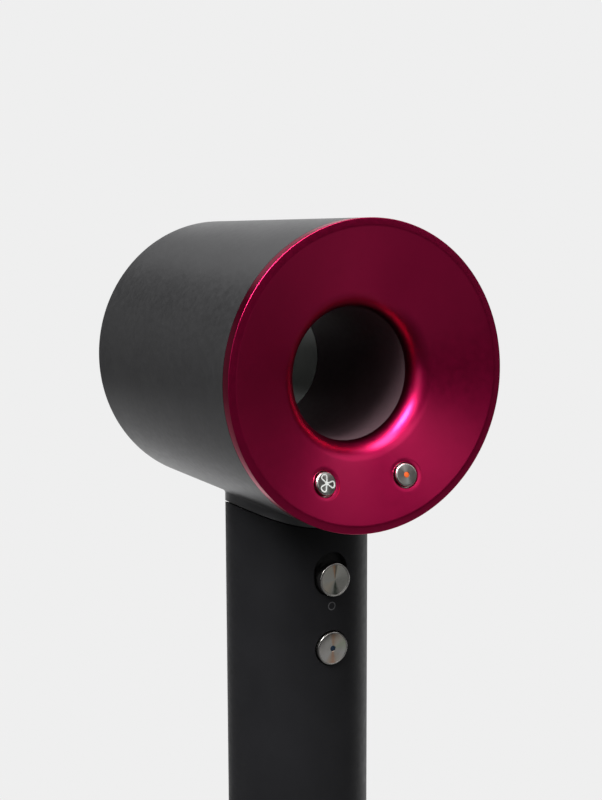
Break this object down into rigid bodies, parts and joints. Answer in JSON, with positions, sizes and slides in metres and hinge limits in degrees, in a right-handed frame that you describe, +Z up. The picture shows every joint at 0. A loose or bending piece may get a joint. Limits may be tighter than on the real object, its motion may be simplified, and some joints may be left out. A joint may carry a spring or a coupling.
{
  "type": "hair dryer",
  "caption": "Hair dryer with a hollow drum head, dished trim cover, round handle with slider and push buttons, internal heater and fan, and a removable intake cage.",
  "frame": {"origin": "centre of the cord gland at the bottom face, on the handle's axis", "axes": "+Z up along the handle, +Y from the trim cover towards the air outlet along the head's axis, +X to the right seen from the buttons' side"},
  "size_m": [0.078, 0.0885, 0.245],
  "materials": {
    "casing_grey": "satin metallic charcoal",
    "cover_magenta": "satin metallic magenta",
    "duct_grey": "satin",
    "nozzle_grey": "satin",
    "grip_black": "soft-touch matte",
    "plate_black": "matte",
    "button_metal": "spun, bevelled edge",
    "heat_orange": "gloss",
    "cold_blue": "gloss",
    "mica": "mica sheet",
    "heater_alloy": "resistance ribbon",
    "board_green": "solder mask",
    "component_black": "moulded",
    "screw_steel": "zinc plated",
    "magnet_dark": "nickel plated",
    "rubber_black": "matte",
    "foam_grey": "open-cell foam",
    "motor_alloy": "machined",
    "stator_steel": "laminated",
    "copper": "enamelled",
    "bearing_steel": "ground",
    "mesh_steel": "woven mesh",
    "lead_white": "insulation"
  },
  "bodies": {
    "dryer": {"acoustic_liner": "foam_grey", "air_duct": "plate_black", "attachment_magnets": "magnet_dark", "bearing_bridge": "component_black", "bearing_outer_rings": "bearing_steel", "board_parts": "component_black", "board_screws": "screw_steel", "cold_switch": "component_black", "control_board": "board_green", "cord_gland": "plate_black", "duct_tube": "duct_grey", "filter_core": "plate_black", "filter_mesh": "mesh_steel", "handle_shell": "grip_black", "head_casing": "casing_grey", "heat_switch": "component_black", "heater_coil_1": "heater_alloy", "heater_coil_2": "heater_alloy", "heater_coil_3": "heater_alloy", "heater_frame": "mica", "inner_heat_shield": "mica", "ion_emitter": "component_black", "ion_generator": "component_black", "lower_motor_mount": "rubber_black", "mains_leads": "lead_white", "motor_board": "board_green", "motor_bucket": "motor_alloy", "motor_frame": "motor_alloy", "motor_shroud": "motor_alloy", "neck_gasket": "rubber_black", "nozzle_inner_ring": "nozzle_grey", "nozzle_outer_ring": "nozzle_grey", "outer_heat_shield": "mica", "power_switch": "component_black", "rear_cover": "cover_magenta", "speed_switch": "component_black", "stator_core": "stator_steel", "switch_board": "board_green", "switch_carrier": "plate_black", "terminal_block": "component_black", "thermal_cutoff": "component_black", "thermistor": "component_black", "upper_motor_mount": "rubber_black", "windings": "copper"},
    "speed_button": {"speed_button": "button_metal"},
    "heat_button": {"heat_button": "button_metal", "heat_dot": "heat_orange"},
    "power_slider": {"power_slider": "button_metal", "slider_plate": "plate_black"},
    "cold_shot_button": {"cold_shot_button": "button_metal", "cold_dot": "cold_blue"},
    "rotor": {"motor_shaft": "bearing_steel", "rotor_magnet": "magnet_dark", "impeller": "motor_alloy", "bearing_inner_rings": "bearing_steel", "bearing_balls": "bearing_steel"},
    "filter_cage": {"filter_cage": "grip_black"}
  },
  "joints": [
    {"name": "power_slide", "type": "slide", "parent": "dryer", "child": "power_slider", "axis": [0, 0, 1], "range_m": [0, 0.0021]},
    {"name": "cold_shot_press", "type": "slide", "parent": "dryer", "child": "cold_shot_button", "axis": [0, 1, 0], "range_m": [0, 0.0008], "stiffness_N_per_m": 300, "springref_m": -0.002},
    {"name": "speed_press", "type": "slide", "parent": "dryer", "child": "speed_button", "axis": [-0.1283, 0.9511, -0.2811], "range_m": [0, 0.0006], "stiffness_N_per_m": 300, "springref_m": -0.002},
    {"name": "heat_press", "type": "slide", "parent": "dryer", "child": "heat_button", "axis": [0.1283, 0.9511, -0.2811], "range_m": [0, 0.0006], "stiffness_N_per_m": 300, "springref_m": -0.002},
    {"name": "rotor_spin", "type": "hinge", "parent": "dryer", "child": "rotor", "pos_m": [0, 0, 0.07], "axis": [0, 0, 1], "continuous": true},
    {"name": "cage_pull", "type": "slide", "parent": "dryer", "child": "filter_cage", "axis": [0, 0, -1], "range_m": [0, 0.045]}
  ]
}
